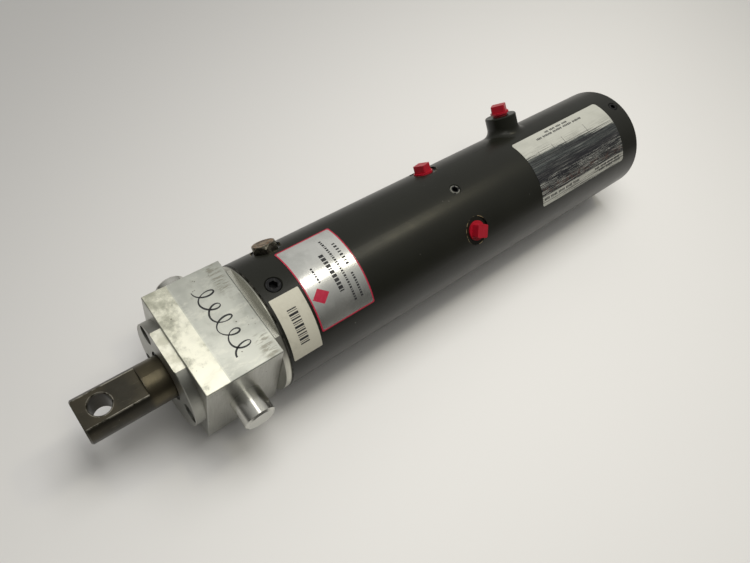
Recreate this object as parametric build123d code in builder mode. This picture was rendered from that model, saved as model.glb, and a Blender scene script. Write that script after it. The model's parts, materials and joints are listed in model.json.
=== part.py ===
from build123d import *
import os
from math import cos, hypot, radians, sin

os.makedirs("parts", exist_ok=True)

# Trunnion-mounted two-stroke cylinder, all sizes in millimetres.
# +X runs along the cylinder towards the rod eye, +Y along the trunnion pins, +Z up.
# Stations written x are measured along the cylinder from the trunnion axis.

# Trunnion block and its collar
BLOCK_WIDTH = 88.9
BLOCK_HEIGHT = 84.0
BLOCK_LENGTH = 61.5
BLOCK_EDGE = 0.5
COLLAR_RADIUS = 53.2
COLLAR_FLAT_END = -34.6
COLLAR_END = -35.8
SPIGOT_END = -61.2
NOSE_END = -84.5
NOSE_RADIUS = 30.0

# Barrel
TUBE_RADIUS = 53.6
BORE_RADIUS = 44.45
TUBE_FRONT = -36.4
TUBE_REAR = -480.4
TUBE_EDGE = 0.8
FIT_GAP = 0.15

# Rod and its eye
ROD_RADIUS = 17.46
ROD_TIP = BLOCK_LENGTH / 2 + 72.05
TANG_START = BLOCK_LENGTH / 2 + 26.0
TANG_THICKNESS = 25.4
EYE_X = BLOCK_LENGTH / 2 + 56.0
EYE_RADIUS = 7.94
EYE_CHAMFER = 0.8
ROD_CLEARANCE = 18.0
RUNNING_GAP = 0.05

# Front gland flange
FLANGE_RADIUS = 42.6
FLANGE_THICKNESS = 8.3
FLANGE_FLAT = 38.8
SCREW_CIRCLE_RADIUS = 34.4
SCREW_ANGLES = (-48, -132, 90)
COUNTERBORE_RADIUS = 7.7
COUNTERBORE_DEPTH = 5.6
GLAND_SCREW_RADIUS = 4.7
GLAND_SCREW_HEAD_RADIUS = 7.1
GLAND_SCREW_HEAD = 4.0
GLAND_SCREW_REACH = 17.0

# Trunnion pins
PIN_RADIUS = 12.7
PIN_SHANK_RADIUS = 11.1
PIN_PROJECTION = 22.25
PIN_EMBEDDED = 20.4
PIN_CHAMFER = 1.5

# Ports, all on lines 45 degrees either side of the top
PORT_ANGLE = 45.0
PORT_RADIUS = 7.15
SPOT_RADIUS = 12.7
SPOT_FLOOR = 51.8
FRONT_PORT_X = -68.4
DIVIDER_X = -237.2
BOSS_X = -346.7
BOSS_RADIUS = 15.0
BOSS_TOP = 70.2
BOSS_FILLET = 8.0

# Lock screws along the top line
HEAD_SCREW_X = -49.9
HEAD_SCREW_RADIUS = 6.35
CAP_SCREW_X = -470.4
LOCK_SCREW_RADIUS = 4.76
LOCK_DIMPLE_FLOOR = 41.5

# Inside: divider, cap, pistons and their strokes
DIVIDER_HALF = 13.1
CAP_FRONT = -452.0
CAP_REAR = -478.4
RETRACT_STROKE = 50.8
WELD_STROKE = 50.8
STOP_GAP = 0.2
BUMPER_THICKNESS = 3.0
PISTON_RADIUS = 44.1
PISTON_LENGTH = 31.0
SEAL_WIDTH = 6.4
SEAL_FLOOR = 38.0
WEAR_FLOOR = 41.6
WEAR_WIDTH = 7.6
O_RING_WIDTH = 3.4
O_RING_DEPTH = 2.4
PUSH_ROD_RADIUS = 15.875
PUSH_ROD_CLEARANCE = 16.2

# Labels on the barrel: start and end station, start and end angle from the top line
NAMEPLATE = (-117.4, -66.6, -26.5, 53.8)
STOCK_LABEL = (-64.4, -39.0, 10.6, 65.5)
PORTING_LABEL = (-454.0, -324.6, -14.6, 60.8)

SCREW_SPOTS = [
    (SCREW_CIRCLE_RADIUS * sin(radians(angle)), SCREW_CIRCLE_RADIUS * cos(radians(angle)))
    for angle in SCREW_ANGLES
]

BLOCK_FRONT = BLOCK_LENGTH / 2
BLOCK_REAR = -BLOCK_LENGTH / 2
FLANGE_FRONT = BLOCK_FRONT + FLANGE_THICKNESS
INNER_RADIUS = BORE_RADIUS - FIT_GAP
DIVIDER_REAR = DIVIDER_X - DIVIDER_HALF
DIVIDER_FRONT = DIVIDER_X + DIVIDER_HALF

# Travel ends set the rest stations of both pistons
WELD_FRONT = NOSE_END - BUMPER_THICKNESS - STOP_GAP - RETRACT_STROKE - WELD_STROKE
WELD_REAR = WELD_FRONT - PISTON_LENGTH
RETRACT_FRONT = DIVIDER_REAR - BUMPER_THICKNESS - STOP_GAP - RETRACT_STROKE
RETRACT_REAR = RETRACT_FRONT - PISTON_LENGTH
STOP_TUBE_FRONT = RETRACT_REAR - STOP_GAP - BUMPER_THICKNESS
ROD_REAR = WELD_REAR - 0.6
PUSH_ROD_FRONT = ROD_REAR - STOP_GAP

# The row's origin lies under the middle of the whole length, on the surface the barrel rests on
MID_LENGTH = (TUBE_REAR + ROD_TIP) / 2
AXIS_HEIGHT = TUBE_RADIUS
CYLINDER_AXIS = Axis((0, 0, AXIS_HEIGHT), (1, 0, 0))
LABEL_AXIS = Axis((0, 0, AXIS_HEIGHT), (-1, 0, 0))


def section_plane(angle=0.0):
    """Plane through the cylinder axis: local x is the station, local y the radius.

    The angle is measured from the top line towards +Y.
    """
    normal = (0, -cos(radians(angle)), sin(radians(angle)))
    return Plane(origin=(-MID_LENGTH, 0, AXIS_HEIGHT), x_dir=(1, 0, 0), z_dir=normal)


def across_plane(x):
    """Plane square to the cylinder at station x, facing the rod end; local axes are Y and Z."""
    return Plane(origin=(x - MID_LENGTH, 0, AXIS_HEIGHT), x_dir=(0, 1, 0), z_dir=(1, 0, 0))


def radial_plane(x, angle, radius):
    """Plane facing outwards from the cylinder at a station, angle and radius."""
    outward = (0, sin(radians(angle)), cos(radians(angle)))
    centre = (x - MID_LENGTH, radius * outward[1], AXIS_HEIGHT + radius * outward[2])
    return Plane(origin=centre, x_dir=(1, 0, 0), z_dir=outward)


def radial_axis(x, angle):
    """Axis pointing outwards from the cylinder at a station and angle."""
    return Axis((x - MID_LENGTH, 0, AXIS_HEIGHT), (0, sin(radians(angle)), cos(radians(angle))))


def side_plane(y):
    """Plane facing +Y through the trunnion axis."""
    return Plane(origin=(-MID_LENGTH, y, AXIS_HEIGHT), x_dir=(1, 0, 0), z_dir=(0, 1, 0))


def half_section(*points, angle=0.0):
    """Closed face from (station, radius) corners, ready to revolve."""
    with BuildSketch(section_plane(angle)) as section:
        with BuildLine():
            Polyline(*points, close=True)
        make_face()
    return section.sketch


def ring(start, end, inner, outer, angle=0.0):
    """Half-section of a plain ring."""
    return half_section((start, inner), (end, inner), (end, outer), (start, outer), angle=angle)


def finish(piece, name):
    """Name a finished piece and write its file."""
    piece.part.label = name
    export_step(piece.part, f"parts/{name}.step")


# ---------------------------------------------------------------- barrel
TAP_DEPTH = 12.0
SPOT_CLEARANCE = 8.0
PORTS = ((FRONT_PORT_X, -PORT_ANGLE), (DIVIDER_X, -PORT_ANGLE), (DIVIDER_X, PORT_ANGLE))

with BuildPart() as cylinder_tube:
    revolve(
        half_section(
            (TUBE_REAR, BORE_RADIUS),
            (TUBE_FRONT, BORE_RADIUS),
            (TUBE_FRONT, TUBE_RADIUS - TUBE_EDGE),
            (TUBE_FRONT - TUBE_EDGE, TUBE_RADIUS),
            (TUBE_REAR + TUBE_EDGE, TUBE_RADIUS),
            (TUBE_REAR, TUBE_RADIUS - TUBE_EDGE),
        ),
        axis=CYLINDER_AXIS,
    )
    for port_x, port_angle in PORTS:
        with BuildSketch(radial_plane(port_x, port_angle, SPOT_FLOOR)):
            Circle(SPOT_RADIUS)
        extrude(amount=SPOT_CLEARANCE, mode=Mode.SUBTRACT)
        with BuildSketch(radial_plane(port_x, port_angle, SPOT_FLOOR)):
            Circle(PORT_RADIUS)
        extrude(amount=-TAP_DEPTH, mode=Mode.SUBTRACT)
    with BuildSketch(radial_plane(BOSS_X, -PORT_ANGLE, TUBE_RADIUS)):
        Circle(PORT_RADIUS - 1)
    extrude(amount=-TAP_DEPTH, both=True, mode=Mode.SUBTRACT)
    for screw_x, screw_radius in (
        (HEAD_SCREW_X, HEAD_SCREW_RADIUS),
        (DIVIDER_X, LOCK_SCREW_RADIUS),
        (CAP_SCREW_X, LOCK_SCREW_RADIUS),
    ):
        with BuildSketch(radial_plane(screw_x, 0, TUBE_RADIUS)):
            Circle(screw_radius + RUNNING_GAP)
        extrude(amount=-TAP_DEPTH, mode=Mode.SUBTRACT)
        with BuildSketch(radial_plane(screw_x, 0, TUBE_RADIUS)):
            Circle(screw_radius + 0.8)
        extrude(amount=-0.8, taper=45, mode=Mode.SUBTRACT)
finish(cylinder_tube, "cylinder_tube")

# ---------------------------------------------------------------- front head with the trunnion block
BUSHING_RADIUS = 21.4
BUSHING_FRONT = -2.0
SEAL_POCKET_RADIUS = 24.0
SEAL_POCKET_REAR = 19.5
PILOT_REAR = 28.0
HEAD_GROOVE_REAR = -60.2
FACE_GROOVE_INNER = 25.4
FACE_GROOVE_OUTER = 28.6
FACE_GROOVE_DEPTH = 2.0

with BuildPart() as front_head:
    with BuildSketch(across_plane(BLOCK_REAR)):
        Rectangle(BLOCK_WIDTH, BLOCK_HEIGHT)
    extrude(amount=BLOCK_LENGTH)
    chamfer(front_head.edges(), length=BLOCK_EDGE)
    with BuildSketch(across_plane(COLLAR_FLAT_END)):
        Circle(COLLAR_RADIUS)
        Rectangle(2 * COLLAR_RADIUS, BLOCK_HEIGHT, mode=Mode.INTERSECT)
    extrude(amount=BLOCK_REAR - COLLAR_FLAT_END)
    revolve(
        half_section(
            (NOSE_END, 0),
            (COLLAR_FLAT_END, 0),
            (COLLAR_FLAT_END, COLLAR_RADIUS),
            (COLLAR_END, COLLAR_RADIUS),
            (COLLAR_END, INNER_RADIUS),
            (SPIGOT_END + BLOCK_EDGE, INNER_RADIUS),
            (SPIGOT_END, INNER_RADIUS - BLOCK_EDGE),
            (SPIGOT_END, NOSE_RADIUS),
            (NOSE_END, NOSE_RADIUS),
        ),
        axis=CYLINDER_AXIS,
    )
    revolve(ring(NOSE_END, BLOCK_FRONT, 0, ROD_CLEARANCE), axis=CYLINDER_AXIS, mode=Mode.SUBTRACT)
    revolve(ring(NOSE_END, BUSHING_FRONT, 0, BUSHING_RADIUS), axis=CYLINDER_AXIS, mode=Mode.SUBTRACT)
    revolve(
        ring(SEAL_POCKET_REAR, BLOCK_FRONT, 0, SEAL_POCKET_RADIUS),
        axis=CYLINDER_AXIS,
        mode=Mode.SUBTRACT,
    )
    revolve(
        ring(HEAD_GROOVE_REAR, HEAD_GROOVE_REAR + O_RING_WIDTH, INNER_RADIUS - O_RING_DEPTH, COLLAR_RADIUS),
        axis=CYLINDER_AXIS,
        mode=Mode.SUBTRACT,
    )
    revolve(
        ring(BLOCK_FRONT - FACE_GROOVE_DEPTH, BLOCK_FRONT, FACE_GROOVE_INNER, FACE_GROOVE_OUTER),
        axis=CYLINDER_AXIS,
        mode=Mode.SUBTRACT,
    )
    with BuildSketch(radial_plane(HEAD_SCREW_X, 0, LOCK_DIMPLE_FLOOR)):
        Circle(HEAD_SCREW_RADIUS + RUNNING_GAP)
    extrude(amount=TAP_DEPTH / 2, mode=Mode.SUBTRACT)
    for side in (-1, 1):
        with BuildSketch(side_plane(side * BLOCK_WIDTH / 2)):
            Circle(PIN_SHANK_RADIUS)
        extrude(amount=-side * PIN_EMBEDDED, mode=Mode.SUBTRACT)
    with BuildSketch(across_plane(BLOCK_FRONT)):
        with Locations(*SCREW_SPOTS):
            Circle(GLAND_SCREW_RADIUS + RUNNING_GAP)
    extrude(amount=-GLAND_SCREW_REACH, mode=Mode.SUBTRACT)
finish(front_head, "front_head")

# ---------------------------------------------------------------- trunnion pins, pressed into the block
for pin_name, side in (("trunnion_pin_near", 1), ("trunnion_pin_far", -1)):
    with BuildPart() as trunnion_pin:
        with BuildSketch(side_plane(side * BLOCK_WIDTH / 2)):
            Circle(PIN_RADIUS)
        extrude(amount=side * PIN_PROJECTION)
        chamfer(trunnion_pin.edges().sort_by(Axis.Y)[-1 if side > 0 else 0], length=PIN_CHAMFER)
        with BuildSketch(side_plane(side * (BLOCK_WIDTH / 2 - PIN_EMBEDDED))):
            Circle(PIN_SHANK_RADIUS)
        extrude(amount=side * PIN_EMBEDDED)
    finish(trunnion_pin, pin_name)

# ---------------------------------------------------------------- gland flange over the rod seal
WIPER_REAR = 33.6
WIPER_FRONT = FLANGE_FRONT - 0.7
WIPER_RADIUS = 20.3
FLANGE_EDGE = 0.6

with BuildPart() as gland_flange:
    revolve(
        half_section(
            (PILOT_REAR, ROD_CLEARANCE),
            (FLANGE_FRONT, ROD_CLEARANCE),
            (FLANGE_FRONT, FLANGE_RADIUS - FLANGE_EDGE),
            (FLANGE_FRONT - FLANGE_EDGE, FLANGE_RADIUS),
            (BLOCK_FRONT, FLANGE_RADIUS),
            (BLOCK_FRONT, SEAL_POCKET_RADIUS - RUNNING_GAP),
            (PILOT_REAR, SEAL_POCKET_RADIUS - RUNNING_GAP),
        ),
        axis=CYLINDER_AXIS,
    )
    revolve(ring(WIPER_REAR, FLANGE_FRONT, 0, WIPER_RADIUS), axis=CYLINDER_AXIS, mode=Mode.SUBTRACT)
    with BuildSketch(across_plane(BLOCK_FRONT)):
        with Locations((0, FLANGE_FLAT + FLANGE_RADIUS / 2)):
            Rectangle(2 * FLANGE_RADIUS, FLANGE_RADIUS)
    extrude(amount=FLANGE_THICKNESS, mode=Mode.SUBTRACT)
    with BuildSketch(across_plane(FLANGE_FRONT)):
        with Locations(*SCREW_SPOTS):
            Circle(COUNTERBORE_RADIUS)
    extrude(amount=-COUNTERBORE_DEPTH, mode=Mode.SUBTRACT)
    with BuildSketch(across_plane(FLANGE_FRONT)):
        with Locations(*SCREW_SPOTS):
            Circle(GLAND_SCREW_RADIUS + 2 * RUNNING_GAP)
    extrude(amount=-FLANGE_THICKNESS, mode=Mode.SUBTRACT)
finish(gland_flange, "gland_flange")

# ---------------------------------------------------------------- socket screws that hold the flange
GLAND_SOCKET_RADIUS = 3.7
GLAND_SOCKET_DEPTH = 3.0
HEAD_SEAT = FLANGE_FRONT - COUNTERBORE_DEPTH

with BuildPart() as gland_screws:
    with BuildSketch(across_plane(HEAD_SEAT)):
        with Locations(*SCREW_SPOTS):
            Circle(GLAND_SCREW_HEAD_RADIUS)
    extrude(amount=GLAND_SCREW_HEAD)
    chamfer(gland_screws.edges().group_by(Axis.X)[-1], length=0.5)
    with BuildSketch(across_plane(HEAD_SEAT)):
        with Locations(*SCREW_SPOTS):
            Circle(GLAND_SCREW_RADIUS)
    extrude(amount=BLOCK_FRONT - GLAND_SCREW_REACH + 2 - HEAD_SEAT)
    with BuildSketch(across_plane(HEAD_SEAT + GLAND_SCREW_HEAD)):
        with Locations(*SCREW_SPOTS):
            RegularPolygon(GLAND_SOCKET_RADIUS, 6)
    extrude(amount=-GLAND_SOCKET_DEPTH, mode=Mode.SUBTRACT)
finish(gland_screws, "gland_screws")

# ---------------------------------------------------------------- rod guidance and sealing in the head
with BuildPart() as rod_bushing:
    revolve(
        ring(NOSE_END + 0.5, BUSHING_FRONT, ROD_RADIUS + RUNNING_GAP, BUSHING_RADIUS - 0.02),
        axis=CYLINDER_AXIS,
    )
finish(rod_bushing, "rod_bushing")

with BuildPart() as rod_seal:
    revolve(
        half_section(
            (SEAL_POCKET_REAR, ROD_RADIUS + FIT_GAP),
            (PILOT_REAR - 0.3, ROD_RADIUS + FIT_GAP),
            (PILOT_REAR - 0.3, SEAL_POCKET_RADIUS - RUNNING_GAP),
            (SEAL_POCKET_REAR, SEAL_POCKET_RADIUS - RUNNING_GAP),
            (SEAL_POCKET_REAR, ROD_RADIUS + 4.4),
            (SEAL_POCKET_REAR + 3.5, ROD_RADIUS + 3.4),
            (SEAL_POCKET_REAR, ROD_RADIUS + 2.4),
        ),
        axis=CYLINDER_AXIS,
    )
finish(rod_seal, "rod_seal")

with BuildPart() as rod_wiper:
    revolve(
        half_section(
            (WIPER_REAR, ROD_RADIUS + 1.2),
            (WIPER_FRONT - 1.5, ROD_RADIUS + 1.0),
            (WIPER_FRONT, ROD_RADIUS + FIT_GAP),
            (WIPER_FRONT, ROD_RADIUS + 0.8),
            (WIPER_FRONT - 0.6, WIPER_RADIUS - RUNNING_GAP),
            (WIPER_REAR, WIPER_RADIUS - RUNNING_GAP),
        ),
        axis=CYLINDER_AXIS,
    )
finish(rod_wiper, "rod_wiper")

with BuildPart() as gland_o_ring:
    with BuildSketch(section_plane()):
        with Locations((BLOCK_FRONT - 1.02, (FACE_GROOVE_INNER + FACE_GROOVE_OUTER) / 2)):
            Circle(0.95)
    revolve(axis=CYLINDER_AXIS)
finish(gland_o_ring, "gland_o_ring")

with BuildPart() as head_o_ring:
    with BuildSketch(section_plane()):
        with Locations((HEAD_GROOVE_REAR + O_RING_WIDTH / 2, BORE_RADIUS - 1.3)):
            Circle(1.2)
    revolve(axis=CYLINDER_AXIS)
finish(head_o_ring, "head_o_ring")

with BuildPart() as head_bumper:
    revolve(ring(NOSE_END - BUMPER_THICKNESS, NOSE_END, 22.5, NOSE_RADIUS), axis=CYLINDER_AXIS)
finish(head_bumper, "head_bumper")

# ---------------------------------------------------------------- divider between the two chambers
DIVIDER_BUSHING_RADIUS = 19.05
DIVIDER_BUSHING_FRONT = DIVIDER_X - 1.0
DIVIDER_SEAL_REAR = DIVIDER_FRONT - 8.5
DIVIDER_SEAL_FRONT = DIVIDER_FRONT - 2.5
DIVIDER_SEAL_RADIUS = 21.0
PASSAGE_RADIUS = 4.5
PASSAGE_CIRCLE = 36.0
DIVIDER_GROOVES = (DIVIDER_REAR + 1.7, DIVIDER_FRONT - 1.7 - O_RING_WIDTH)

with BuildPart() as centre_divider:
    revolve(ring(DIVIDER_REAR, DIVIDER_FRONT, PUSH_ROD_CLEARANCE, INNER_RADIUS), axis=CYLINDER_AXIS)
    for groove in DIVIDER_GROOVES:
        revolve(
            ring(groove, groove + O_RING_WIDTH, INNER_RADIUS - O_RING_DEPTH, COLLAR_RADIUS),
            axis=CYLINDER_AXIS,
            mode=Mode.SUBTRACT,
        )
    revolve(
        ring(DIVIDER_REAR, DIVIDER_BUSHING_FRONT, 0, DIVIDER_BUSHING_RADIUS),
        axis=CYLINDER_AXIS,
        mode=Mode.SUBTRACT,
    )
    revolve(
        ring(DIVIDER_SEAL_REAR, DIVIDER_SEAL_FRONT, 0, DIVIDER_SEAL_RADIUS),
        axis=CYLINDER_AXIS,
        mode=Mode.SUBTRACT,
    )
    for side in (-1, 1):
        passage_angle = side * PORT_ANGLE
        with BuildSketch(radial_plane(DIVIDER_X, passage_angle, PASSAGE_CIRCLE - PASSAGE_RADIUS)):
            Circle(PORT_RADIUS - 1.5)
        extrude(amount=TAP_DEPTH + PASSAGE_RADIUS, mode=Mode.SUBTRACT)
        with BuildSketch(across_plane(DIVIDER_X)):
            with Locations(
                (PASSAGE_CIRCLE * sin(radians(passage_angle)), PASSAGE_CIRCLE * cos(radians(passage_angle)))
            ):
                Circle(PASSAGE_RADIUS)
        extrude(amount=-side * (DIVIDER_HALF + 1), mode=Mode.SUBTRACT)
    with BuildSketch(radial_plane(DIVIDER_X, 0, LOCK_DIMPLE_FLOOR)):
        Circle(LOCK_SCREW_RADIUS + RUNNING_GAP)
    extrude(amount=TAP_DEPTH / 2, mode=Mode.SUBTRACT)
finish(centre_divider, "centre_divider")

for o_ring_name, groove in zip(("divider_o_ring_rear", "divider_o_ring_front"), DIVIDER_GROOVES):
    with BuildPart() as divider_o_ring:
        with BuildSketch(section_plane()):
            with Locations((groove + O_RING_WIDTH / 2, BORE_RADIUS - 1.3)):
                Circle(1.2)
        revolve(axis=CYLINDER_AXIS)
    finish(divider_o_ring, o_ring_name)

with BuildPart() as divider_bushing:
    revolve(
        ring(
            DIVIDER_REAR,
            DIVIDER_BUSHING_FRONT,
            PUSH_ROD_RADIUS + RUNNING_GAP,
            DIVIDER_BUSHING_RADIUS - 0.02,
        ),
        axis=CYLINDER_AXIS,
    )
finish(divider_bushing, "divider_bushing")

with BuildPart() as push_rod_seal:
    revolve(
        ring(
            DIVIDER_SEAL_REAR + RUNNING_GAP,
            DIVIDER_SEAL_FRONT - RUNNING_GAP,
            PUSH_ROD_RADIUS + FIT_GAP,
            DIVIDER_SEAL_RADIUS - RUNNING_GAP,
        ),
        axis=CYLINDER_AXIS,
    )
finish(push_rod_seal, "push_rod_seal")

with BuildPart() as divider_bumper:
    revolve(ring(DIVIDER_REAR - BUMPER_THICKNESS, DIVIDER_REAR, 20.5, 30.0), axis=CYLINDER_AXIS)
finish(divider_bumper, "divider_bumper")

# ---------------------------------------------------------------- rear end
CAP_GROOVE = CAP_FRONT - 4.0 - O_RING_WIDTH
SPANNER_HOLE_RADIUS = 3.5
SPANNER_CIRCLE = 25.0

with BuildPart() as rear_cap:
    revolve(
        half_section(
            (CAP_REAR, 0),
            (CAP_FRONT, 0),
            (CAP_FRONT, INNER_RADIUS),
            (CAP_REAR + TUBE_EDGE, INNER_RADIUS),
            (CAP_REAR, INNER_RADIUS - TUBE_EDGE),
        ),
        axis=CYLINDER_AXIS,
    )
    revolve(
        ring(CAP_GROOVE, CAP_GROOVE + O_RING_WIDTH, INNER_RADIUS - O_RING_DEPTH, COLLAR_RADIUS),
        axis=CYLINDER_AXIS,
        mode=Mode.SUBTRACT,
    )
    with BuildSketch(across_plane(CAP_REAR)):
        with PolarLocations(SPANNER_CIRCLE, 2):
            Circle(SPANNER_HOLE_RADIUS)
    extrude(amount=8, mode=Mode.SUBTRACT)
    with BuildSketch(radial_plane(CAP_SCREW_X, 0, LOCK_DIMPLE_FLOOR)):
        Circle(LOCK_SCREW_RADIUS + RUNNING_GAP)
    extrude(amount=TAP_DEPTH / 2, mode=Mode.SUBTRACT)
finish(rear_cap, "rear_cap")

with BuildPart() as cap_o_ring:
    with BuildSketch(section_plane()):
        with Locations((CAP_GROOVE + O_RING_WIDTH / 2, BORE_RADIUS - 1.3)):
            Circle(1.2)
    revolve(axis=CYLINDER_AXIS)
finish(cap_o_ring, "cap_o_ring")

STOP_TUBE_INNER = 37.0
STOP_TUBE_GROOVE = 41.0

with BuildPart() as stop_tube:
    revolve(ring(CAP_FRONT, STOP_TUBE_FRONT, STOP_TUBE_INNER, INNER_RADIUS), axis=CYLINDER_AXIS)
    revolve(
        ring(BOSS_X - PORT_RADIUS, BOSS_X + PORT_RADIUS, STOP_TUBE_GROOVE, COLLAR_RADIUS),
        axis=CYLINDER_AXIS,
        mode=Mode.SUBTRACT,
    )
    for quarter in range(4):
        with BuildSketch(radial_plane(BOSS_X, -PORT_ANGLE + 90 * quarter, STOP_TUBE_INNER - 2)):
            Circle(PORT_RADIUS - 1)
        extrude(amount=TAP_DEPTH, mode=Mode.SUBTRACT)
finish(stop_tube, "stop_tube")

with BuildPart() as stop_bumper:
    revolve(
        ring(STOP_TUBE_FRONT, STOP_TUBE_FRONT + BUMPER_THICKNESS, STOP_TUBE_INNER + 0.5, INNER_RADIUS - 0.8),
        axis=CYLINDER_AXIS,
    )
finish(stop_bumper, "stop_bumper")

# ---------------------------------------------------------------- lock screws along the top line
LOCK_SCREW_TOP = 53.2
for lock_name, screw_x, screw_radius, socket_radius in (
    ("head_lock_screw", HEAD_SCREW_X, HEAD_SCREW_RADIUS, 3.67),
    ("divider_lock_screw", DIVIDER_X, LOCK_SCREW_RADIUS, 2.75),
    ("cap_lock_screw", CAP_SCREW_X, LOCK_SCREW_RADIUS, 2.75),
):
    with BuildPart() as lock_screw:
        with BuildSketch(radial_plane(screw_x, 0, LOCK_DIMPLE_FLOOR)):
            Circle(screw_radius)
        extrude(amount=LOCK_SCREW_TOP - LOCK_DIMPLE_FLOOR)
        chamfer(lock_screw.edges().group_by(Axis.Z)[0], length=1.0)
        chamfer(lock_screw.edges().group_by(Axis.Z)[-1], length=0.6)
        with BuildSketch(radial_plane(screw_x, 0, LOCK_SCREW_TOP)):
            RegularPolygon(socket_radius, 6)
        extrude(amount=-5, mode=Mode.SUBTRACT)
    finish(lock_screw, lock_name)

# ---------------------------------------------------------------- welded boss over the rear port
BOSS_REACH = BOSS_RADIUS + BOSS_FILLET + 7.0


def on_saddle(edge):
    """True for the edge where the boss meets the barrel."""
    place = edge @ 0.3
    from_axis = hypot(place.Y, place.Z - AXIS_HEIGHT)
    from_boss = abs(place.X - (BOSS_X - MID_LENGTH))
    return abs(from_axis - TUBE_RADIUS) < 0.01 and from_boss < BOSS_RADIUS + 0.1


with BuildPart() as port_boss:
    revolve(ring(BOSS_X - BOSS_REACH, BOSS_X + BOSS_REACH, 0, TUBE_RADIUS), axis=CYLINDER_AXIS)
    with BuildSketch(radial_plane(BOSS_X, -PORT_ANGLE, 0)):
        Circle(BOSS_RADIUS)
    extrude(amount=BOSS_TOP)
    fillet(port_boss.edges().filter_by(on_saddle), radius=BOSS_FILLET)
    chamfer(
        port_boss.faces().sort_by(radial_axis(BOSS_X, -PORT_ANGLE))[-1].edges(),
        length=TUBE_EDGE,
    )
    revolve(
        ring(BOSS_X - BOSS_REACH - 1, BOSS_X + BOSS_REACH + 1, 0, TUBE_RADIUS),
        axis=CYLINDER_AXIS,
        mode=Mode.SUBTRACT,
    )
    with BuildSketch(radial_plane(BOSS_X, -PORT_ANGLE, BOSS_TOP)):
        Circle(PORT_RADIUS)
    extrude(amount=TUBE_RADIUS - BOSS_TOP - 2, mode=Mode.SUBTRACT)
finish(port_boss, "port_boss")

# ---------------------------------------------------------------- plugs in the ports
HEX_FLATS = 19.05
HEX_HEIGHT = 6.6
STEM_LENGTH = 6.0
STEM_RADIUS = PORT_RADIUS - 0.1

with BuildPart() as front_port_plug:
    with BuildSketch(radial_plane(FRONT_PORT_X, -PORT_ANGLE, SPOT_FLOOR)):
        RegularPolygon(HEX_FLATS / 2, 6, major_radius=False, rotation=12)
    extrude(amount=HEX_HEIGHT)
    with BuildSketch(radial_plane(FRONT_PORT_X, -PORT_ANGLE, SPOT_FLOOR + HEX_HEIGHT)):
        Circle(HEX_FLATS / 2 * 0.98)
    extrude(amount=-HEX_HEIGHT, taper=-30, mode=Mode.INTERSECT)
    with BuildSketch(radial_plane(FRONT_PORT_X, -PORT_ANGLE, SPOT_FLOOR)):
        Circle(STEM_RADIUS)
    extrude(amount=-STEM_LENGTH)
finish(front_port_plug, "front_port_plug")

SQUARE_HEIGHT = 8.4
SQUARE_CORNER = 1.6
BOSS_PLUG_STANDOFF = 2.0
PLUG_COLLAR_RADIUS = 8.8
PLUG_COLLAR_HEIGHT = 1.6

for plug_name, plug_x, plug_angle, seat, flats, turn in (
    ("divider_port_plug_far", DIVIDER_X, -PORT_ANGLE, SPOT_FLOOR, 12.0, 20),
    ("divider_port_plug_near", DIVIDER_X, PORT_ANGLE, SPOT_FLOOR, 12.0, -23),
    ("boss_port_plug", BOSS_X, -PORT_ANGLE, BOSS_TOP + BOSS_PLUG_STANDOFF, 13.5, 35),
):
    with BuildPart() as port_plug:
        with BuildSketch(radial_plane(plug_x, plug_angle, seat)):
            RectangleRounded(flats, flats, SQUARE_CORNER, rotation=turn)
        extrude(amount=SQUARE_HEIGHT, taper=1.5)
        with BuildSketch(radial_plane(plug_x, plug_angle, seat)):
            Circle(PLUG_COLLAR_RADIUS)
        extrude(amount=PLUG_COLLAR_HEIGHT)
        with BuildSketch(radial_plane(plug_x, plug_angle, seat)):
            Circle(STEM_RADIUS)
        extrude(amount=-STEM_LENGTH)
    finish(port_plug, plug_name)

# ---------------------------------------------------------------- labels wrapped on the barrel
for label_name, label_extent, label_thickness, corner in (
    ("nameplate", NAMEPLATE, 0.5, 1.5),
    ("stock_label", STOCK_LABEL, 0.2, 0.8),
    ("porting_label", PORTING_LABEL, 0.25, 3.0),
):
    start, end, first_angle, last_angle = label_extent
    with BuildPart() as wrapped_label:
        revolve(
            ring(start, end, TUBE_RADIUS, TUBE_RADIUS + label_thickness, angle=first_angle),
            axis=LABEL_AXIS,
            revolution_arc=last_angle - first_angle,
        )
        corner_edges = wrapped_label.edges().filter_by(
            lambda edge: abs(edge.length - label_thickness) < 0.001
        )
        fillet(corner_edges, radius=corner)
    finish(wrapped_label, label_name)

# ---------------------------------------------------------------- retract piston and its push rod
PUSH_SPIGOT_RADIUS = 11.0
PUSH_NUT_POCKET = 20.0
PUSH_NUT_RADIUS = 19.0
PUSH_NUT_LENGTH = 11.0
NUT_POCKET_DEPTH = 13.0


def piston_grooves(rear):
    """Half-sections of the two seal grooves and the wear ring groove between them."""
    first_seal = rear + 3.0
    wear = first_seal + SEAL_WIDTH + 2.5
    second_seal = wear + WEAR_WIDTH + 2.5
    return first_seal, wear, second_seal


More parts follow.
